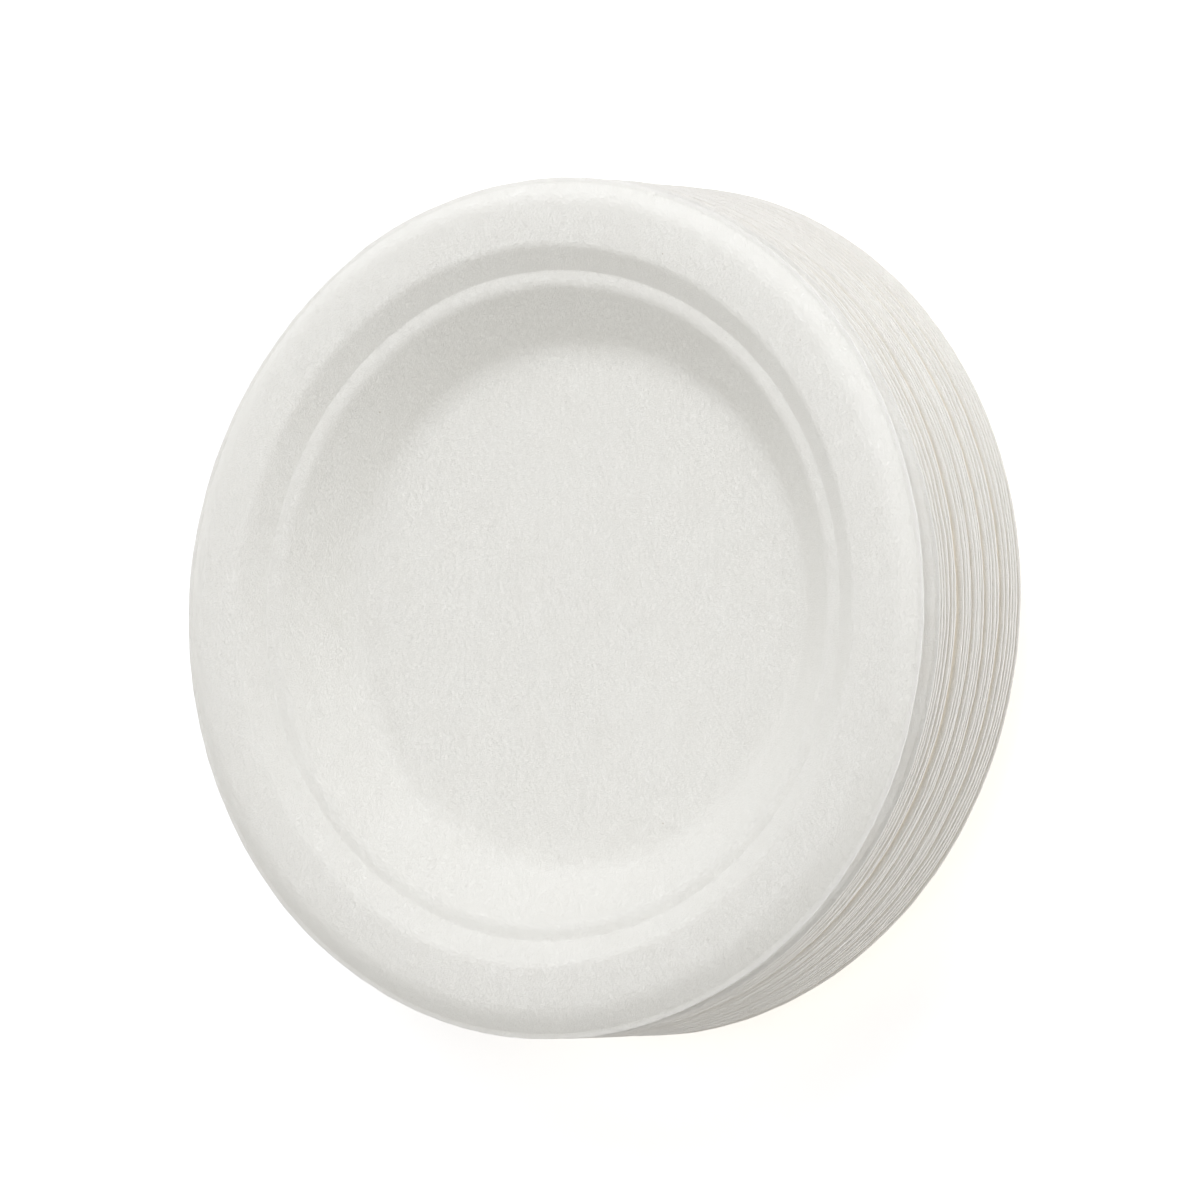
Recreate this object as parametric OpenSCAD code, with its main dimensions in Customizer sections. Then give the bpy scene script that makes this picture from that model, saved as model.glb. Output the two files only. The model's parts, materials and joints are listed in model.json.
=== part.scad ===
// A stack of round plates pressed from paper pulp, nested in each other.
// Every plate is one pressed wall of even thickness, turned from one section.
// Millimetres, +Z up, origin under the middle of the lowest plate's floor.
// The front of the stack, where its widest gaps show, faces -Y.

/* [Plate] */
// Diameter over the trimmed edge
plate_d = 172; // [150:1:230]
// Thickness of the pressed wall
wall_t = 0.55; // [0.4:0.05:0.9]

/* [Well] */
// Height of the ledge above the floor
well_h = 10.7; // [6:0.1:16]
// Slope of the well's wall, in degrees
well_slope = 42; // [30:1:50]
// Radius of the bend from the floor into the well's wall
floor_bend_r = 7; // [4:0.5:12]
// Radius of the brow where the well's wall turns level
brow_bend_r = 3.4; // [2:0.2:6]
// Width of the level ledge round the well
ledge_w = 1.1; // [0.4:0.1:4]

/* [Rim] */
// Height of the rim's inner edge above the ledge
rise_h = 3.5; // [3:0.1:8]
// Slope of the rise from the ledge to the rim, in degrees
rise_slope = 35; // [30:1:50]
// Radius of the bend at the foot of the rise
foot_bend_r = 1; // [0.6:0.1:3]
// Radius of the shoulder at the top of the rise
shoulder_bend_r = 3.2; // [1:0.2:5]
// Slope at which the rim leaves the shoulder, still climbing, in degrees
crown_in = 4; // [1:1:8]
// Slope at which the rim reaches the lip, already falling, in degrees
crown_out = 6; // [1:1:10]
// Width of the gently crowned rim
rim_w = 6.8; // [3:0.1:15]

/* [Lip] */
// Height from the end of the rim down to the trimmed edge
lip_h = 3.75; // [3:0.05:8]
// Steepest slope of the lip, in degrees
lip_slope = 45; // [35:1:52]
// Radius over which the rim rolls down into the lip
lip_bend_r = 5.4; // [2:0.2:6]
// Radius of the bend at the foot of the lip
flare_bend_r = 1; // [0.6:0.1:2]
// Slope of the flare at the trimmed edge, in degrees
flare_slope = 14; // [5:1:25]
// Width of the flare, from its bend to the trimmed edge
flare_w = 0.8; // [0.5:0.1:2]

/* [Stack] */
// Number of plates
plate_count = 25; // [2:1:40]
// Clearance between two nested walls on the side where they seat
nest_gap = 0.165; // [0.1:0.005:0.4]
// Usual opening between two plates at the back rim, beyond their seat
back_opening = 1.2; // [0:0.1:2]
// Share by which that opening differs from plate to plate
opening_spread = 0.6; // [0:0.1:0.9]
// How far round the rim the openings wander to each side, in degrees
opening_wander = 50; // [0:5:80]
// Sideways step of each plate on the next, which makes the stack lean to -X
lean_step = 0.07; // [0:0.01:0.08]
// Largest sideways play of each plate on top of that step
side_play = 0.04; // [0:0.01:0.06]
// Largest difference of a plate's trimmed radius from the nominal one
trim_play = 0.15; // [0:0.05:0.3]
// Seed of the small differences between the plates
stack_seed = 15; // [1:1:99]

/* [Hidden] */
// Plates that gape at the front instead, counted from the top, with the width
// of the gap beyond their seat
FRONT_GAPS = [[1, 4.9], [5, 0.7], [7, 1.9], [11, 1], [15, 1.2], [19, 1.6], [21, 0.5]];

$fn = 180;

PULP = "#e3e1da";
FRONT = -90;
BACK = 90;
BEND_STEP = 8;

// Height gained over a bend that turns the section from one slope to another
function bend_rise(r, from, to) = sign(to - from) * r * (cos(from) - cos(to));

// Straight runs that are left between the bends
well_run = (well_h - bend_rise(floor_bend_r, 0, well_slope)
    - bend_rise(brow_bend_r, well_slope, 0)) / sin(well_slope);
rise_run = (rise_h - bend_rise(foot_bend_r, 0, rise_slope)
    - bend_rise(shoulder_bend_r, rise_slope, crown_in)) / sin(rise_slope);
lip_run = (lip_h + bend_rise(lip_bend_r, -crown_out, -lip_slope)
    + bend_rise(flare_bend_r, -lip_slope, -flare_slope)
    - flare_w * sin(flare_slope)) / sin(lip_slope);
crown_r = rim_w / (sin(crown_in) + sin(crown_out));

// The section outside the floor, from the floor's edge to the trimmed edge.
// Each piece is [length, 0] for a straight run or [radius, turn] for a bend.
SECTION = [
    [floor_bend_r, well_slope],
    [well_run, 0],
    [brow_bend_r, -well_slope],
    [ledge_w, 0],
    [foot_bend_r, rise_slope],
    [rise_run, 0],
    [shoulder_bend_r, crown_in - rise_slope],
    [crown_r, -crown_in - crown_out],
    [lip_bend_r, crown_out - lip_slope],
    [lip_run, 0],
    [flare_bend_r, lip_slope - flare_slope],
    [flare_w, 0]
];

// A station on the section's middle line is [distance out, height, slope].
// This one lies a share of the way along a piece that starts at another.
function along(start, piece, share) =
    let (turn = piece[1] * share, slope = start[2] + turn, way = sign(turn))
    piece[1] == 0
        ? [start[0] + piece[0] * share * cos(slope), start[1] + piece[0] * share * sin(slope), slope]
        : [start[0] + way * piece[0] * (sin(slope) - sin(start[2])),
           start[1] + way * piece[0] * (cos(start[2]) - cos(slope)), slope];

// All stations after a start, piece by piece
function stations(start, i = 0) =
    i == len(SECTION) ? [] :
    let (
        piece = SECTION[i],
        steps = max(1, ceil(abs(piece[1]) / BEND_STEP)),
        here = [for (k = [1 : steps]) along(start, piece, k / steps)]
    )
    concat(here, stations(here[steps - 1], i + 1));

// The floor takes the radius that the shaped part leaves
OUTLINE = stations([0, wall_t / 2, 0]);
edge_z = OUTLINE[len(OUTLINE) - 1][1];
floor_r = plate_d / 2 - OUTLINE[len(OUTLINE) - 1][0];

// A station's point on the upper skin (side 1) or the lower skin (side -1)
function skin(s, side) =
    [floor_r + s[0] - side * wall_t / 2 * sin(s[2]), s[1] + side * wall_t / 2 * cos(s[2])];

// The trimmed edge is cut upright through the wall
function trimmed(s, side, extra) =
    [floor_r + s[0] + extra, s[1] + extra * tan(s[2]) + side * wall_t / 2 / cos(s[2])];

function skin_line(side, extra) = [
    [0, (1 + side) * wall_t / 2],
    [floor_r, (1 + side) * wall_t / 2],
    for (i = [0 : len(OUTLINE) - 2]) skin(OUTLINE[i], side),
    trimmed(OUTLINE[len(OUTLINE) - 1], side, extra)
];

function reversed(list) = [for (i = [len(list) - 1 : -1 : 0]) list[i]];

// Small differences between the plates, the same at every build
gap_noise = rands(-1, 1, plate_count, stack_seed);
turn_noise = rands(-1, 1, plate_count, stack_seed + 100);
play_x = rands(-1, 1, plate_count, stack_seed + 200);
play_y = rands(-1, 1, plate_count, stack_seed + 300);
trim_noise = rands(-1, 1, plate_count, stack_seed + 400);

// Two nested plates seat where their walls are steepest
seat_pitch = (wall_t + nest_gap) / cos(max(well_slope, rise_slope, lip_slope));

// Width of the front gap of a plate, or nothing if it gapes at the back
function front_gap(n) = [for (g = FRONT_GAPS) if (g[0] == n) g[1]];

// How far plate n gapes above the plate under it, and towards which side
function gape(n) =
    len(front_gap(n)) > 0
        ? [front_gap(n)[0], FRONT + opening_wander / 2 * turn_noise[n - 1]]
        : [back_opening * (1 + opening_spread * gap_noise[n - 1]),
           BACK + opening_wander * turn_noise[n - 1]];

// Seats plate n on the plate under it: tipped about its trimmed edge, so that
// it touches on one side and gapes on the other
module seated(n) {
    opening = gape(n)[0];
    side = gape(n)[1];
    translate([
        side_play * play_x[n - 1] - lean_step,
        side_play * play_y[n - 1],
        seat_pitch + opening / 2 + edge_z
    ])
        rotate(a = asin(opening / plate_d), v = [sin(side), -cos(side), 0])
            translate([0, 0, -edge_z])
                children();
}

// Carries its children up the stack to the place of plate n
module in_stack(n) {
    if (n < plate_count) {
        in_stack(n + 1)
            seated(n)
                children();
    } else {
        children();
    }
}

// One pressed plate: floor, well, ledge, rise, crowned rim, lip and flare
module pressed_plate(extra) {
    color(PULP)
        rotate_extrude()
            polygon(concat(skin_line(-1, extra), reversed(skin_line(1, extra))));
}

module plate(n) {
    in_stack(n)
        pressed_plate(trim_play * trim_noise[n - 1]);
}

for (n = [1 : plate_count]) {
    plate(n);
}
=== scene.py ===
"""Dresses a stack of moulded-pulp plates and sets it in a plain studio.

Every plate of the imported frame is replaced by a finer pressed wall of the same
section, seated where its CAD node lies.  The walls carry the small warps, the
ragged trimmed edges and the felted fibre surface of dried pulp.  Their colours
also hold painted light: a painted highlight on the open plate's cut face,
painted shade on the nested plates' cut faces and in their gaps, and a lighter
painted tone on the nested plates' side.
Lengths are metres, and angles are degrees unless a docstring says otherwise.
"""

from __future__ import annotations

import json
import logging
import math
from dataclasses import dataclass, field
from enum import Enum
from typing import Iterable, NamedTuple, Sequence

import bpy
import numpy as np
from mathutils import Matrix, Vector

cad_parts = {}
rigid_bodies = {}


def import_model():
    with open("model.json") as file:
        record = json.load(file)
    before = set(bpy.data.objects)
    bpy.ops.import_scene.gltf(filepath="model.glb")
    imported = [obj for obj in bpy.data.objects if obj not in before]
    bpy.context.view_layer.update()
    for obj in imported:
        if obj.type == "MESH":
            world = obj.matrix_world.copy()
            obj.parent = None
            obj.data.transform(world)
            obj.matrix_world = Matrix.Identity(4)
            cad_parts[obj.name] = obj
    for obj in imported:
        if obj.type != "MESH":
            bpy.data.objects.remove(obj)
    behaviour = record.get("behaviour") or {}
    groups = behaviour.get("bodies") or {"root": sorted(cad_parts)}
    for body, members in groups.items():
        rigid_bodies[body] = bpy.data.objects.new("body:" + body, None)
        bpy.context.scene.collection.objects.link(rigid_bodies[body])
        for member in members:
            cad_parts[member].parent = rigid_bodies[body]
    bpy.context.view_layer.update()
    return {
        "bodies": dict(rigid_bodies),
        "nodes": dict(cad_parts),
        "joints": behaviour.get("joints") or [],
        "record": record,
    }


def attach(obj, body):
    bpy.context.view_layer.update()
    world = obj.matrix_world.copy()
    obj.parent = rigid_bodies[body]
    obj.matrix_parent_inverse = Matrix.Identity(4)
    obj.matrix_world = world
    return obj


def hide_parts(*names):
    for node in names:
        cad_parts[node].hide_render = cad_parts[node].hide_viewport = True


LOG = logging.getLogger("paper_plates")
MM = 0.001
NODE_PITCH = 190
COOL_WHITE = (0.98, 0.995, 1.04)
WARM_WHITE = (1.0, 0.978, 0.945)

Rgb = tuple[float, float, float]
Rgba = tuple[float, float, float, float]


# ---------------------------------------------------------------- small tools


def deselect_all() -> None:
    """Deselects every object, so that an operator meets only what is chosen."""
    if bpy.context.object and bpy.context.object.mode != "OBJECT":
        bpy.ops.object.mode_set(mode="OBJECT")
    bpy.ops.object.select_all(action="DESELECT")


def choose(piece: bpy.types.Object) -> None:
    """Makes one object the only selected and active one."""
    deselect_all()
    piece.select_set(True)
    bpy.context.view_layer.objects.active = piece


def apply_modifier(piece: bpy.types.Object, name: str, kind: str, **settings: object) -> None:
    """Adds a modifier to an object and applies it.

    Args:
        piece: Object that takes the modifier.
        name: Name of the modifier.
        kind: Blender's type of the modifier, such as "SOLIDIFY".
        **settings: Values of the modifier's own properties.
    """
    choose(piece)
    modifier = piece.modifiers.new(name, kind)
    for key, value in settings.items():
        setattr(modifier, key, value)
    bpy.ops.object.modifier_apply(modifier=modifier.name)


def vertex_table(mesh: bpy.types.Mesh) -> np.ndarray:
    """Returns a mesh's vertices as an array with one row each."""
    table = np.empty(len(mesh.vertices) * 3)
    mesh.vertices.foreach_get("co", table)
    return table.reshape(-1, 3)


def smooth_step(low: float, high: float, values: np.ndarray) -> np.ndarray:
    """Returns 0 below low, 1 above high and an eased blend between them."""
    share = np.clip((values - low) / (high - low), 0.0, 1.0)
    return share * share * (3.0 - 2.0 * share)


# ------------------------------------------------------------- pressed section


@dataclass(frozen=True)
class Station:
    """One point on the middle line of the pressed wall."""

    radius: float
    height: float


@dataclass(frozen=True)
class PlateSection:
    """The section that every plate is pressed to, from its floor to its lip."""

    plate_d: float = 172.0 * MM
    wall_t: float = 0.55 * MM
    well_h: float = 10.7 * MM
    well_slope: float = 42.0
    floor_bend_r: float = 7.0 * MM
    brow_bend_r: float = 3.4 * MM
    ledge_w: float = 1.1 * MM
    rise_h: float = 3.5 * MM
    rise_slope: float = 35.0
    foot_bend_r: float = 1.0 * MM
    shoulder_bend_r: float = 3.2 * MM
    crown_in: float = 4.0
    crown_out: float = 6.0
    rim_w: float = 6.8 * MM
    lip_h: float = 3.75 * MM
    lip_slope: float = 45.0
    lip_bend_r: float = 5.4 * MM
    flare_bend_r: float = 1.0 * MM
    flare_slope: float = 14.0
    flare_w: float = 0.8 * MM

    @staticmethod
    def bend_rise(radius: float, start: float, end: float) -> float:
        """Returns the height gained over a bend between two slopes in degrees."""
        turn = math.cos(math.radians(start)) - math.cos(math.radians(end))
        return math.copysign(1.0, end - start) * radius * turn

    def pieces(self) -> list[tuple[float, float]]:
        """Lists the section outside the floor.

        Returns:
            Pairs of a length and 0 for a straight run, or a radius and a turn
            in degrees for a bend.
        """
        rise = self.bend_rise
        well_run = self.well_h - rise(self.floor_bend_r, 0, self.well_slope)
        well_run -= rise(self.brow_bend_r, self.well_slope, 0)
        rise_run = self.rise_h - rise(self.foot_bend_r, 0, self.rise_slope)
        rise_run -= rise(self.shoulder_bend_r, self.rise_slope, self.crown_in)
        lip_run = self.lip_h + rise(self.lip_bend_r, -self.crown_out, -self.lip_slope)
        lip_run += rise(self.flare_bend_r, -self.lip_slope, -self.flare_slope)
        lip_run -= self.flare_w * math.sin(math.radians(self.flare_slope))
        crown = math.sin(math.radians(self.crown_in)) + math.sin(math.radians(self.crown_out))
        return [
            (self.floor_bend_r, self.well_slope),
            (well_run / math.sin(math.radians(self.well_slope)), 0.0),
            (self.brow_bend_r, -self.well_slope),
            (self.ledge_w, 0.0),
            (self.foot_bend_r, self.rise_slope),
            (rise_run / math.sin(math.radians(self.rise_slope)), 0.0),
            (self.shoulder_bend_r, self.crown_in - self.rise_slope),
            (self.rim_w / crown, -self.crown_in - self.crown_out),
            (self.lip_bend_r, self.crown_out - self.lip_slope),
            (lip_run / math.sin(math.radians(self.lip_slope)), 0.0),
            (self.flare_bend_r, self.lip_slope - self.flare_slope),
            (self.flare_w, 0.0),
        ]

    def shaped_part(self, bend_step: float, run_step: float) -> list[Station]:
        """Walks along the middle line outside the floor.

        Args:
            bend_step: Largest turn between two stations, in degrees.
            run_step: Largest distance between two stations.

        Returns:
            Stations whose radius counts from the floor's edge.
        """
        out, up, slope = 0.0, self.wall_t / 2, 0.0
        walk = [Station(out, up)]
        for size, turn in self.pieces():
            length = size * math.radians(abs(turn)) if turn else size
            steps = max(1, math.ceil(abs(turn) / bend_step), math.ceil(length / run_step))
            for step in range(1, steps + 1):
                share = step / steps
                angle = math.radians(slope + turn * share)
                start = math.radians(slope)
                if turn:
                    way = math.copysign(size, turn)
                    here = (
                        out + way * (math.sin(angle) - math.sin(start)),
                        up + way * (math.cos(start) - math.cos(angle)),
                    )
                else:
                    reach = size * share
                    here = (out + reach * math.cos(start), up + reach * math.sin(start))
                walk.append(Station(*here))
            out, up = walk[-1].radius, walk[-1].height
            slope += turn
        return walk

    @property
    def floor_r(self) -> float:
        """Radius of the flat floor, which the shaped part leaves."""
        ends_only = self.shaped_part(bend_step=90.0, run_step=self.plate_d)
        return self.plate_d / 2 - ends_only[-1].radius

    def stations(self, bend_step: float, run_step: float, floor_rings: int) -> list[Station]:
        """Walks along the whole middle line, from the floor's middle out.

        Args:
            bend_step: Largest turn between two stations, in degrees.
            run_step: Largest distance between two stations.
            floor_rings: Number of rings on the flat floor.

        Returns:
            Stations with their radii counted from the axis.
        """
        floor_r = self.floor_r
        rings = [
            Station(floor_r * ring / floor_rings, self.wall_t / 2)
            for ring in range(1, floor_rings)
        ]
        shaped = [
            Station(floor_r + station.radius, station.height)
            for station in self.shaped_part(bend_step, run_step)
        ]
        return rings + shaped


# ------------------------------------------------------------- seated in stack


@dataclass
class SeatedPlate:
    """Where one plate of the frame lies, read from its CAD solid."""

    place: Matrix
    radius: float

    @classmethod
    def read(cls, solid: bpy.types.Object) -> "SeatedPlate":
        """Fits the axis, foot and trimmed radius of a turned solid.

        The axis is the one that the skin spreads least along.  In a
        triangle's spread each corner weighs 1/12 of its area, its middle 9/12.

        Args:
            solid: The CAD node's object.

        Returns:
            The plate's place, with its underside's middle at the local origin.
        """
        mesh = solid.data
        points = vertex_table(mesh)
        mesh.calc_loop_triangles()
        index = np.empty(len(mesh.loop_triangles) * 3, dtype=np.int64)
        mesh.loop_triangles.foreach_get("vertices", index)
        corners = points[index.reshape(-1, 3)]
        middles = corners.mean(axis=1)
        sides = np.cross(corners[:, 1] - corners[:, 0], corners[:, 2] - corners[:, 0])
        areas = np.linalg.norm(sides, axis=1) / 2
        centre = (areas[:, None] * middles).sum(axis=0) / areas.sum()
        spread = np.zeros((3, 3))
        for corner in range(3):
            arm = corners[:, corner] - centre
            spread += np.einsum("n,ni,nj->ij", areas, arm, arm) / 12
        arm = middles - centre
        spread += np.einsum("n,ni,nj->ij", areas, arm, arm) * 9 / 12
        axis = Vector(np.linalg.eigh(spread)[1][:, 0])
        if axis.z < 0:
            axis.negate()
        along = (points - centre) @ np.array(axis)
        across = np.linalg.norm(points - centre - along[:, None] * np.array(axis), axis=1)
        foot = Vector(centre) + axis * float(along.min())
        turn = Vector((0, 0, 1)).rotation_difference(axis).to_matrix().to_4x4()
        return cls(Matrix.Translation(foot) @ turn, float(across.max()))


# ------------------------------------------------------------------- the walls


class WallGrid(NamedTuple):
    """How finely a plate's wall is divided."""

    segments: int
    bend_step: float
    run_step: float
    floor_rings: int


class Detail(Enum):
    """The grids for the open plate, the nested plates and a quick draft."""

    FACE = WallGrid(segments=360, bend_step=4.0, run_step=1.2 * MM, floor_rings=10)
    NESTED = WallGrid(segments=360, bend_step=10.0, run_step=5.0 * MM, floor_rings=3)
    DRAFT = WallGrid(segments=180, bend_step=9.0, run_step=5.0 * MM, floor_rings=3)


@dataclass(frozen=True)
class Wander:
    """Slow unevenness round a plate, as a sum of waves with seeded turns."""

    first: int
    last: int
    size: float
    fall: float = 1.0

    def along(self, angles: np.ndarray, seed: int) -> np.ndarray:
        """Returns the unevenness at each angle.

        Args:
            angles: Angles round the plate in radians.
            seed: Seed of the waves' strengths and turns.

        Returns:
            Values whose root mean square is size.
        """
        draw = np.random.default_rng(seed)
        total = np.zeros_like(angles)
        power = 0.0
        for waves in range(self.first, self.last + 1):
            strength = draw.normal() / waves**self.fall
            power += strength * strength / 2
            total += strength * np.cos(waves * angles + draw.uniform(0, math.tau))
        return total * (self.size / math.sqrt(power))


@dataclass(frozen=True)
class Buckle:
    """A soft rise of the rim on one side, balanced by a slight drop elsewhere."""

    azimuth: float
    lift: float
    narrowness: float

    def along(self, angles: np.ndarray) -> np.ndarray:
        """Returns the rise at each angle, whose mean round the plate is zero."""
        away = np.cos(angles - math.radians(self.azimuth)) - 1.0
        mean = float(np.i0(self.narrowness)) * math.exp(-self.narrowness)
        return self.lift * (np.exp(self.narrowness * away) - mean)


@dataclass
class PressedWall:
    """Builds one pressed plate and gives it the unevenness of dried pulp."""

    section: PlateSection = field(default_factory=PlateSection)
    edge_round: float = 0.09 * MM
    edge_segments: int = 2
    edge_angle: float = 60.0
    # Band along the cut face that takes the painted edge light, and its fade.
    cut_skin: float = 0.08 * MM
    cut_fade: float = 0.25 * MM
    # Painted gap shade on undersides starts at under_from and is full at under_full, measured by
    # how far a normal faces down.
    under_from: float = 0.1
    under_full: float = 0.5
    form_fade: float = 5.0 * MM
    flare_fade: float = 4.5 * MM
    trim_skin: float = 0.1 * MM
    trim_fade: float = 0.7 * MM
    shared_warp: Wander = Wander(2, 5, 0.10 * MM, 1.0)
    edge_ripple: Wander = Wander(5, 40, 0.03 * MM, 0.8)
    edge_trim: Wander = Wander(3, 110, 0.05 * MM, 0.55)
    seed: int = 41
    ripple_seed_step: int = 7
    trim_seed_step: int = 11

    def turned(self, name: str, detail: Detail) -> bpy.types.Object:
        """Extrudes the wall ring by ring from a small disc and thickens it.

        Args:
            name: Name of the new object.
            detail: How finely the wall is divided.

        Returns:
            The plate in its own frame, underside at the origin.
        """
        grid = detail.value
        rings = self.section.stations(grid.bend_step, grid.run_step, grid.floor_rings)
        deselect_all()
        bpy.ops.mesh.primitive_circle_add(
            vertices=grid.segments,
            radius=rings[0].radius,
            fill_type="TRIFAN",
            location=(0, 0, rings[0].height),
        )
        plate = bpy.context.object
        plate.name = plate.data.name = name
        bpy.ops.object.transform_apply(location=True, rotation=True, scale=True)
        bpy.ops.object.mode_set(mode="EDIT")
        bpy.ops.mesh.select_all(action="SELECT")
        bpy.ops.mesh.region_to_loop()
        for inner, outer in zip(rings, rings[1:]):
            rise = outer.height - inner.height
            bpy.ops.mesh.extrude_edges_move(TRANSFORM_OT_translate={"value": (0, 0, rise)})
            grow = outer.radius / inner.radius
            bpy.ops.transform.resize(value=(grow, grow, 1), center_override=(0, 0, outer.height))
        bpy.ops.mesh.select_all(action="SELECT")
        bpy.ops.mesh.normals_make_consistent(inside=False)
        bpy.ops.object.mode_set(mode="OBJECT")
        apply_modifier(
            plate,
            "wall",
            "SOLIDIFY",
            thickness=self.section.wall_t,
            offset=0.0,
            use_even_offset=True,
            use_quality_normals=True,
        )
        apply_modifier(
            plate,
            "worn_edge",
            "BEVEL",
            width=self.edge_round,
            segments=self.edge_segments,
            limit_method="ANGLE",
            angle_limit=math.radians(self.edge_angle),
        )
        self.mark_cut_edge_light(plate)
        return plate

    def mark_cut_edge_light(self, plate: bpy.types.Object) -> None:
        """Stores how far each vertex belongs to the trimmed edge, from 0 to 1, as the mask of the
        painted light on the cut face.
        """
        points = vertex_table(plate.data)
        radii = np.hypot(points[:, 0], points[:, 1])
        edge_r = radii.max()
        share = smooth_step(edge_r - self.cut_fade, edge_r - self.cut_skin, radii)
        mark = plate.data.attributes.new("cut_edge_light", "FLOAT", "POINT")
        mark.data.foreach_set("value", share.astype(np.float32))

    def mark_gap_shade(self, plate: bpy.types.Object, reach: float) -> None:
        """Stores how far each vertex takes the painted warm shade of the gaps between nested
        plates.

        Args:
            plate: A nested plate, still in its own frame.
            reach: Middle of the fading border beside the trimmed edge.
        """
        points = vertex_table(plate.data)
        normals = np.empty(len(points) * 3)
        plate.data.vertices.foreach_get("normal", normals)
        # Painted shade: downward faces and lip tops further in than reach turn tan, as the warm
        # shade deep in the gaps.
        under = smooth_step(self.under_from, self.under_full, -normals.reshape(-1, 3)[:, 2])
        inside = self.section.plate_d / 2 - np.hypot(points[:, 0], points[:, 1])
        share = np.maximum(under, smooth_step(reach * 0.5, reach * 1.5, inside))
        mark = plate.data.attributes.new("painted_gap_shade", "FLOAT", "POINT")
        mark.data.foreach_set("value", share.astype(np.float32))

    def push_form(self, plate: bpy.types.Object, shift: float) -> None:
        """Moves the pressed form towards +X inside its trimmed circle.

        Args:
            plate: The plate, still in its own frame.
            shift: How far the form moves.
        """
        points = vertex_table(plate.data)
        edge_r = self.section.plate_d / 2
        radii = np.hypot(points[:, 0], points[:, 1])
        points[:, 0] += shift * (1.0 - smooth_step(edge_r - self.form_fade, edge_r, radii))
        plate.data.vertices.foreach_set("co", points.ravel())
        plate.data.update()

    def dried(
        self, plate: bpy.types.Object, number: int, radius: float, buckles: Sequence[Buckle] = ()
    ) -> None:
        """Warps a plate a little and gives its trimmed edge its own raggedness.

        Args:
            plate: The plate, still in its own frame.
            number: The plate's number, which seeds its own unevenness.
            radius: Radius that this plate was trimmed to.
            buckles: Rises of the rim, of this plate and of all under it.
        """
        points = vertex_table(plate.data)
        radii = np.hypot(points[:, 0], points[:, 1])
        angles = np.arctan2(points[:, 1], points[:, 0])
        edge_r = self.section.plate_d / 2
        rim = smooth_step(self.section.floor_r, edge_r, radii)
        lift = rim * self.shared_warp.along(angles, self.seed)
        for buckle in buckles:
            lift += rim * buckle.along(angles)
        flare = smooth_step(edge_r - self.flare_fade, edge_r, radii)
        ripple_seed = self.seed + self.ripple_seed_step * number
        lift += flare * self.edge_ripple.along(angles, ripple_seed)
        trim = smooth_step(edge_r - self.trim_fade, edge_r - self.trim_skin, radii)
        trim_seed = self.seed + self.trim_seed_step * number
        grow = trim * (radius - edge_r + self.edge_trim.along(angles, trim_seed))
        points[:, 2] += lift
        points[:, :2] *= (1 + grow / np.maximum(radii, 1e-6))[:, None]
        plate.data.vertices.foreach_set("co", points.ravel())
        plate.data.update()


# -------------------------------------------------------------------- finishes


class NodeDesk:
    """Adds nodes to one node tree and links them by name."""

    def __init__(self, tree: bpy.types.NodeTree) -> None:
        """Takes the tree that the nodes go to."""
        self.tree = tree
        self.column = 0

    def add(self, kind: str, inputs: dict | None = None, **settings: object) -> bpy.types.Node:
        """Adds one node.

        Args:
            kind: Blender's type of the node.
            inputs: Values or output sockets for its inputs, by name or index.
            **settings: Values of the node's own properties.

        Returns:
            The new node.
        """
        node = self.tree.nodes.new(kind)
        node.location = (self.column * NODE_PITCH, 0)
        self.column += 1
        for key, value in settings.items():
            setattr(node, key, value)
        for key, value in (inputs or {}).items():
            if isinstance(value, bpy.types.NodeSocket):
                self.tree.links.new(value, node.inputs[key])
            else:
                node.inputs[key].default_value = value
        return node

    def math(self, operation: str, *values: object) -> bpy.types.NodeSocket:
        """Adds a Math node and returns its output."""
        node = self.add("ShaderNodeMath", dict(enumerate(values)), operation=operation)
        return node.outputs[0]

    def step(self, value: object, low: float, high: float) -> bpy.types.NodeSocket:
        """Returns an eased mask, 0 where value is below low and 1 above high."""
        node = self.add(
            "ShaderNodeMapRange",
            {"Value": value, "From Min": low, "From Max": high},
            interpolation_type="SMOOTHSTEP",
        )
        return node.outputs["Result"]

    def noise(self, place: object, size: float, **inputs: object) -> bpy.types.NodeSocket:
        """Returns a noise whose features are about size metres across."""
        values = {"Vector": place, "Scale": 1.0 / size}
        values.update({key.replace("_", " ").title(): value for key, value in inputs.items()})
        return self.add("ShaderNodeTexNoise", values).outputs[0]

    def mix(self, share: object, first: object, second: object) -> bpy.types.NodeSocket:
        """Returns a blend of two colours.

        A Mix node keeps its colour sockets after those for other kinds of
        data, at inputs 6 and 7 and output 2.
        """
        node = self.add("ShaderNodeMix", data_type="RGBA")
        for index, value in ((0, share), (6, first), (7, second)):
            if isinstance(value, bpy.types.NodeSocket):
                self.tree.links.new(value, node.inputs[index])
            else:
                node.inputs[index].default_value = value
        return node.outputs[2]


def effect_group(
    name: str, inputs: Sequence[tuple[str, str, object]], outputs: Sequence[tuple[str, str]]
) -> tuple[bpy.types.NodeTree, NodeDesk, bpy.types.Node, bpy.types.Node]:
    """Starts a shader node group with named sockets.

    Args:
        name: Name of the group.
        inputs: Name, socket type and default of each input.
        outputs: Name and socket type of each output.

    Returns:
        The group, a desk to add nodes with, and its input and output nodes.
    """
    group = bpy.data.node_groups.new(name, "ShaderNodeTree")
    for label, kind, value in inputs:
        socket = group.interface.new_socket(label, in_out="INPUT", socket_type=kind)
        if value is not None:
            socket.default_value = value
    for label, kind in outputs:
        group.interface.new_socket(label, in_out="OUTPUT", socket_type=kind)
    desk = NodeDesk(group)
    return group, desk, desk.add("NodeGroupInput"), desk.add("NodeGroupOutput")


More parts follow.
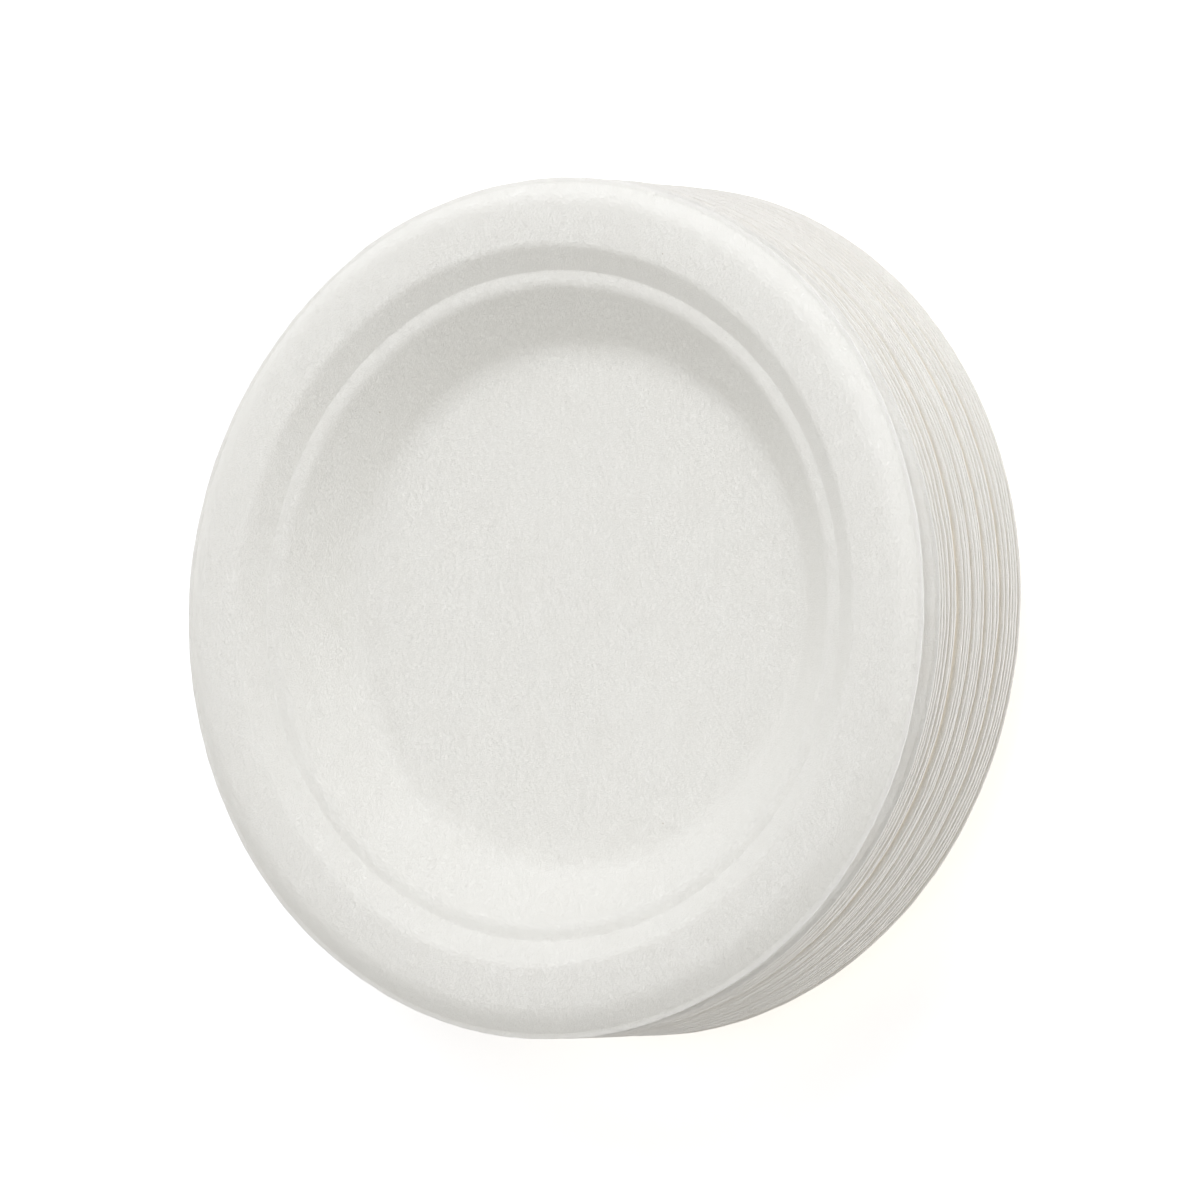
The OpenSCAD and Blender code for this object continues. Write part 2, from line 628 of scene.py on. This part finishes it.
@dataclass(frozen=True)
class FibreRelief:
    """The felted surface: curled fibres, their dents and a slow unevenness."""

    fibre_size: float = 0.8 * MM
    fine_size: float = 0.26 * MM
    slow_size: float = 5.0 * MM
    finer_share: float = 0.62
    finer_shift: float = 0.37
    fibre_band: float = 0.08
    fibre_weight: float = 0.26
    fine_weight: float = 0.65
    slow_weight: float = 1.2

    def group(self) -> bpy.types.NodeTree:
        """Builds the node group, which puts out a height."""
        group, desk, start, end = effect_group(
            "fibre_relief",
            [("Vector", "NodeSocketVector", None)],
            [("Height", "NodeSocketFloat")],
        )
        place = start.outputs["Vector"]
        fibres = []
        finer = (self.fibre_size * self.finer_share, self.finer_shift)
        for size, shift in ((self.fibre_size, 0.0), finer):
            offset = (shift, shift / 2, shift / 3)
            add = desk.add("ShaderNodeVectorMath", {0: place, 1: offset}, operation="ADD")
            moved = add.outputs[0]
            noise = desk.noise(moved, size, detail=2.0, roughness=0.45, distortion=1.3)
            away = desk.math("ABSOLUTE", desk.math("SUBTRACT", noise, 0.5))
            fibres.append(desk.math("SUBTRACT", 1.0, desk.step(away, 0.0, self.fibre_band)))
        fibre = desk.math("MAXIMUM", *fibres)
        fine = desk.noise(place, self.fine_size, detail=3.0, roughness=0.6)
        slow = desk.noise(place, self.slow_size, detail=2.0, roughness=0.5)
        dents = desk.math("MULTIPLY", fine, self.fine_weight)
        height = desk.math("MULTIPLY_ADD", fibre, self.fibre_weight, dents)
        height = desk.math("MULTIPLY_ADD", slow, self.slow_weight, height)
        desk.tree.links.new(height, end.inputs["Height"])
        return group


@dataclass(frozen=True)
class PulpTone:
    """The pulp's own colour: soft mottling and stray specks."""

    mottle_size: float = 9.0 * MM
    grain_size: float = 0.9 * MM
    speck_size: float = 7.0 * MM
    mottle_from: float = 0.35
    mottle_full: float = 0.7
    grain_weight: float = 0.6
    speck_from: float = 0.80
    speck_full: float = 0.86
    speck_core: float = 0.012
    speck_edge: float = 0.035
    speck_strength: float = 0.55

    def group(self) -> bpy.types.NodeTree:
        """Builds the node group, which puts out a colour."""
        group, desk, start, end = effect_group(
            "pulp_tone",
            [
                ("Vector", "NodeSocketVector", None),
                ("Pulp", "NodeSocketColor", (0.8, 0.8, 0.77, 1)),
                ("Warm", "NodeSocketColor", (0.7, 0.66, 0.58, 1)),
                ("Speck", "NodeSocketColor", (0.4, 0.33, 0.25, 1)),
                ("Mottling", "NodeSocketFloat", 0.12),
            ],
            [("Color", "NodeSocketColor")],
        )
        place = start.outputs["Vector"]
        clouds = desk.noise(place, self.mottle_size, detail=3.0, roughness=0.55)
        slow = desk.step(clouds, self.mottle_from, self.mottle_full)
        grain = desk.noise(place, self.grain_size, detail=2.0, roughness=0.6)
        uneven = desk.math("MULTIPLY_ADD", grain, self.grain_weight, slow)
        share = desk.math("MULTIPLY", uneven, start.outputs["Mottling"])
        colour = desk.mix(share, start.outputs["Pulp"], start.outputs["Warm"])
        cells = desk.add(
            "ShaderNodeTexVoronoi",
            {"Vector": place, "Scale": 1.0 / self.speck_size, "Randomness": 1.0},
        )
        split = desk.add("ShaderNodeSeparateColor", {0: cells.outputs["Color"]})
        rare = desk.step(split.outputs[0], self.speck_from, self.speck_full)
        far = desk.step(cells.outputs["Distance"], self.speck_core, self.speck_edge)
        dot = desk.math("SUBTRACT", 1.0, far)
        speck = desk.math("MULTIPLY", desk.math("MULTIPLY", dot, rare), self.speck_strength)
        colour = desk.mix(speck, colour, start.outputs["Speck"])
        desk.tree.links.new(colour, end.inputs["Color"])
        return group


@dataclass(frozen=True)
class PulpFinish:
    """Matte pressed pulp, for the open plate or, painted lighter, for the nested ones."""

    name: str
    pulp: Rgba
    warm: Rgba
    # Painted light on the trimmed edge: a painted highlight where it is lighter than the pulp
    # (open plate), painted shade where it is darker (nested plates).
    cut_painted_light: Rgba
    # Painted warm shade for the dim gaps between nested plates.
    gap_shade: Rgba
    mottling: float
    relief: float
    roughness: float = 0.88
    specular: float = 0.25
    speck: Rgba = (0.42, 0.35, 0.26, 1.0)

    def material(self, relief: bpy.types.NodeTree, tone: bpy.types.NodeTree) -> bpy.types.Material:
        """Builds the material from the two shared node groups.

        Args:
            relief: The fibre relief group.
            tone: The pulp tone group.

        Returns:
            The finished material.
        """
        material = bpy.data.materials.new(self.name)
        material.use_nodes = True
        desk = NodeDesk(material.node_tree)
        shader = material.node_tree.nodes["Principled BSDF"]
        place = desk.add("ShaderNodeTexCoord").outputs["Object"]
        fibres = desk.add("ShaderNodeGroup", node_tree=relief)
        tones = desk.add("ShaderNodeGroup", node_tree=tone)
        links = material.node_tree.links
        links.new(place, fibres.inputs["Vector"])
        links.new(place, tones.inputs["Vector"])
        tones.inputs["Pulp"].default_value = self.pulp
        tones.inputs["Warm"].default_value = self.warm
        tones.inputs["Speck"].default_value = self.speck
        tones.inputs["Mottling"].default_value = self.mottling
        # Mask of the painted light on the cut face.
        cut_painted_light = desk.add("ShaderNodeAttribute", attribute_name="cut_edge_light").outputs["Fac"]
        # Mask of the painted warm shade in the gaps.
        gap_shade = desk.add("ShaderNodeAttribute", attribute_name="painted_gap_shade").outputs["Fac"]
        colour = desk.mix(gap_shade, tones.outputs["Color"], self.gap_shade)
        colour = desk.mix(cut_painted_light, colour, self.cut_painted_light)
        bump = desk.add(
            "ShaderNodeBump",
            {"Height": fibres.outputs["Height"], "Distance": self.relief, "Strength": 1.0},
        )
        links.new(colour, shader.inputs["Base Color"])
        links.new(bump.outputs["Normal"], shader.inputs["Normal"])
        shader.inputs["Roughness"].default_value = self.roughness
        shader.inputs["Specular IOR Level"].default_value = self.specular
        return material


# Painted light on the open plate: its cut colour is a painted highlight along the trimmed edge. It
# has no gap mask, so its gap shade is never drawn.
OPEN_PULP = PulpFinish(
    name="pulp_open",
    pulp=(0.88, 0.875, 0.835, 1.0),
    warm=(0.83, 0.815, 0.765, 1.0),
    cut_painted_light=(0.90, 0.89, 0.86, 1.0),
    gap_shade=(0.88, 0.87, 0.83, 1.0),
    mottling=0.14,
    relief=0.17 * MM,
)
# Painted light on the nested plates: their pulp is painted lighter than the open plate's to
# brighten the stack's side, their cut colour is painted shade on the cut faces and their gap
# colour is painted warm shade in the gaps.
NESTED_PULP_PAINTED_LIGHTER = PulpFinish(
    name="pulp_nested_painted_lighter",
    pulp=(0.94, 0.935, 0.90, 1.0),
    warm=(0.86, 0.82, 0.75, 1.0),
    cut_painted_light=(0.87, 0.86, 0.83, 1.0),
    gap_shade=(0.92, 0.84, 0.70, 1.0),
    mottling=0.25,
    relief=0.17 * MM,
)


# ------------------------------------------------------------------- the stack


@dataclass
class PlateStack:
    """All plates of the frame, each dressed where its CAD solid lies."""

    frame: dict
    slot: str = "moulded_pulp"
    body: str = "root"
    wall: PressedWall = field(default_factory=PressedWall)
    open_buckle: Buckle = Buckle(-82.0, 1.1 * MM, 12.0)
    buckle_lifts: tuple[float, float] = (0.15 * MM, 0.55 * MM)
    buckle_narrowness: tuple[float, float] = (6.0, 25.0)
    form_shift: float = 0.45 * MM
    # Borders beside the trimmed edge kept free of painted gap shade; the second plate's is wide,
    # below the open gap under the top plate.
    unshaded_border: float = 0.9 * MM
    open_unshaded_border: float = 7.0 * MM
    smooth_angle: float = 50.0
    seed: int = 1344

    def buckles(self) -> list[Buckle]:
        """Draws one rise of the rim for every plate, from the top one down."""
        draw = np.random.default_rng(self.seed)
        drawn = []
        for _ in self.frame["nodes"]:
            azimuth, lift = draw.uniform(-180, 180), draw.uniform(*self.buckle_lifts)
            drawn.append(Buckle(azimuth, lift, draw.uniform(*self.buckle_narrowness)))
        return drawn

    def build(self) -> list[bpy.types.Object]:
        """Builds, dries, dresses and seats every plate.

        Returns:
            The plates from the top one down.
        """
        relief = FibreRelief().group()
        tone = PulpTone().group()
        open_pulp = OPEN_PULP.material(relief, tone)
        # The nested plates take a copy of the pulp painted lighter, as painted light on the
        # stack's side.
        nested_pulp_painted_lighter = NESTED_PULP_PAINTED_LIGHTER.material(relief, tone)
        face_detail = Detail.FACE
        nested_detail = Detail.NESTED
        nested = self.wall.turned("nested_pattern", nested_detail)
        buckles = self.buckles()
        plates = []
        for number, node in enumerate(sorted(self.frame["nodes"]), start=1):
            seat = SeatedPlate.read(self.frame["nodes"][node])
            if number == 1:
                plate = self.wall.turned("pulp_plate_01", face_detail)
            else:
                plate = nested.copy()
                plate.data = nested.data.copy()
                bpy.context.collection.objects.link(plate)
            plate.name = plate.data.name = f"pulp_{node}"
            if number == 1:
                self.wall.push_form(plate, self.form_shift)
                self.wall.dried(plate, number, seat.radius, [self.open_buckle, *buckles])
            else:
                # The second plate keeps a wide border free of painted gap shade.
                border = self.open_unshaded_border if number == 2 else self.unshaded_border
                self.wall.mark_gap_shade(plate, border)
                self.wall.dried(plate, number, seat.radius, buckles[number - 1 :])
            plate.matrix_world = seat.place
            choose(plate)
            bpy.ops.object.transform_apply(location=True, rotation=True, scale=True)
            bpy.ops.object.shade_smooth_by_angle(angle=math.radians(self.smooth_angle))
            plate.data.materials.clear()
            plate.data.materials.append(open_pulp if number == 1 else nested_pulp_painted_lighter)
            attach(plate, self.body)
            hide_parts(node)
            plates.append(plate)
            faces = len(plate.data.polygons)
            LOG.info("%s: %d faces, trimmed to %.2f mm", plate.name, faces, seat.radius / MM)
        bpy.data.objects.remove(nested)
        return plates


# ------------------------------------------------------------------ the studio


@dataclass(frozen=True)
class Softbox:
    """One square soft light, aimed at the stack."""

    name: str
    azimuth: float
    elevation: float
    distance: float
    size: float
    power: float
    colour: Rgb = (1.0, 1.0, 1.0)

    def place(self, aim: Vector) -> None:
        """Adds the light.

        Args:
            aim: Point that the light faces.
        """
        bearing, height = math.radians(self.azimuth), math.radians(self.elevation)
        level = math.cos(height)
        way = Vector((math.cos(bearing) * level, math.sin(bearing) * level, math.sin(height)))
        deselect_all()
        bpy.ops.object.light_add(type="AREA", location=aim + way * self.distance)
        lamp = bpy.context.object
        lamp.name = self.name
        lamp.data.shape = "SQUARE"
        lamp.data.size = self.size
        lamp.data.energy = self.power
        lamp.data.color = self.colour
        lamp.rotation_euler = way.to_track_quat("Z", "Y").to_euler()


@dataclass(frozen=True)
class CameraPlace:
    """The long lens that sees the stack as the photograph does."""

    location: tuple[float, float, float] = (-0.032433, -1.394694, 2.127173)
    aim: tuple[float, float, float] = (0.000531, -0.009395, 0.046341)
    up: tuple[float, float, float] = (0.994944, 0.075615, 0.066102)
    lens: float = 375.6
    sensor: float = 36.0
    nearest: float = 0.1
    farthest: float = 50.0

    def place(self) -> None:
        """Adds the camera and makes it the scene's own."""
        location = Vector(self.location)
        back = (location - Vector(self.aim)).normalized()
        right = Vector(self.up).cross(back).normalized()
        turned = Matrix((right, back.cross(right), back)).transposed().to_4x4()
        deselect_all()
        bpy.ops.object.camera_add()
        camera = bpy.context.object
        camera.name = "camera"
        camera.matrix_world = Matrix.Translation(location) @ turned
        camera.data.lens = self.lens
        camera.data.sensor_width = self.sensor
        camera.data.clip_start = self.nearest
        camera.data.clip_end = self.farthest
        bpy.context.scene.camera = camera


@dataclass
class Studio:
    """Pale floor, white surroundings, soft lights and the camera."""

    floor_size: float = 8.0
    floor_colour: Rgba = (0.86, 0.865, 0.88, 1.0)
    floor_shade: Rgba = (0.8, 0.805, 0.82, 1.0)
    cloud_size: float = 0.4
    cloud_share: float = 0.1
    floor_glow: float = 0.54
    floor_dim: float = 0.14
    ambient: float = 0.39
    light_aim: tuple[float, float, float] = (0.0, 0.0, 0.03)
    lights: tuple[Softbox, ...] = (
        Softbox("key_high", 0.0, 50.0, 2.2, 1.6, 19.9, COOL_WHITE),
        Softbox("key_low", 0.0, 30.0, 2.2, 1.6, 7.2, COOL_WHITE),
        Softbox("fill_left", 90.0, 30.0, 2.4, 1.2, 11.6),
        Softbox("fill_right", -90.0, 28.0, 2.4, 1.2, 11.2),
        Softbox("over_front", -90.0, 72.0, 2.4, 1.0, 6.8),
    )

    def camera_mask(self, desk: NodeDesk) -> bpy.types.NodeSocket:
        """Returns 1 for rays that see the backdrop directly, in a gloss or through glass."""
        path = desk.add("ShaderNodeLightPath")
        seen = desk.math("MAXIMUM", path.outputs["Is Camera Ray"], path.outputs["Is Glossy Ray"])
        return desk.math("MAXIMUM", seen, path.outputs["Is Transmission Ray"])

    def build_world(self) -> None:
        """Lights the scene evenly and shows white behind it."""
        world = bpy.data.worlds.new("white_surround")
        bpy.context.scene.world = world
        world.use_nodes = True
        desk = NodeDesk(world.node_tree)
        even = world.node_tree.nodes["Background"]
        even.inputs["Color"].default_value = (*WARM_WHITE, 1.0)
        even.inputs["Strength"].default_value = self.ambient
        white = desk.add("ShaderNodeBackground", {"Color": (1, 1, 1, 1), "Strength": 1.0})
        both = desk.add("ShaderNodeMixShader", {0: self.camera_mask(desk)})
        links = world.node_tree.links
        links.new(even.outputs[0], both.inputs[1])
        links.new(white.outputs[0], both.inputs[2])
        links.new(both.outputs[0], world.node_tree.nodes["World Output"].inputs["Surface"])

    def build_floor(self) -> None:
        """Lays the pale floor under the stack."""
        deselect_all()
        bpy.ops.mesh.primitive_plane_add(size=self.floor_size)
        floor = bpy.context.object
        floor.name = "studio_floor"
        material = bpy.data.materials.new("studio_floor")
        material.use_nodes = True
        desk = NodeDesk(material.node_tree)
        shader = material.node_tree.nodes["Principled BSDF"]
        shader.inputs["Roughness"].default_value = 1.0
        shader.inputs["Specular IOR Level"].default_value = 0.0
        place = desk.add("ShaderNodeTexCoord").outputs["Object"]
        cloud = desk.noise(place, self.cloud_size, detail=2.0)
        share = desk.math("MULTIPLY", cloud, self.cloud_share)
        tint = desk.mix(share, self.floor_colour, self.floor_shade)
        links = material.node_tree.links
        links.new(tint, shader.inputs["Base Color"])
        seen = desk.math("MULTIPLY_ADD", self.camera_mask(desk), -self.floor_dim, self.floor_glow)
        shine = desk.add("ShaderNodeEmission", {"Color": (1, 1, 1, 1), "Strength": seen})
        total = desk.add("ShaderNodeAddShader", {0: shader.outputs[0], 1: shine.outputs[0]})
        links.new(total.outputs[0], material.node_tree.nodes["Material Output"].inputs["Surface"])
        floor.data.materials.append(material)

    def build(self) -> None:
        """Sets up the whole studio."""
        bpy.context.scene.view_settings.view_transform = "Standard"
        self.build_world()
        self.build_floor()
        for light in self.lights:
            light.place(Vector(self.light_aim))
        CameraPlace().place()
        LOG.info("studio: %d lights", len(self.lights))


def main() -> None:
    """Dresses the frame and sets up the studio."""
    logging.basicConfig(level=logging.INFO, format="%(name)s: %(message)s")
    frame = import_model()
    plates = PlateStack(frame).build()
    LOG.info("stack: %d plates", len(plates))
    Studio().build()
    deselect_all()


if __name__ == "__main__":
    main()
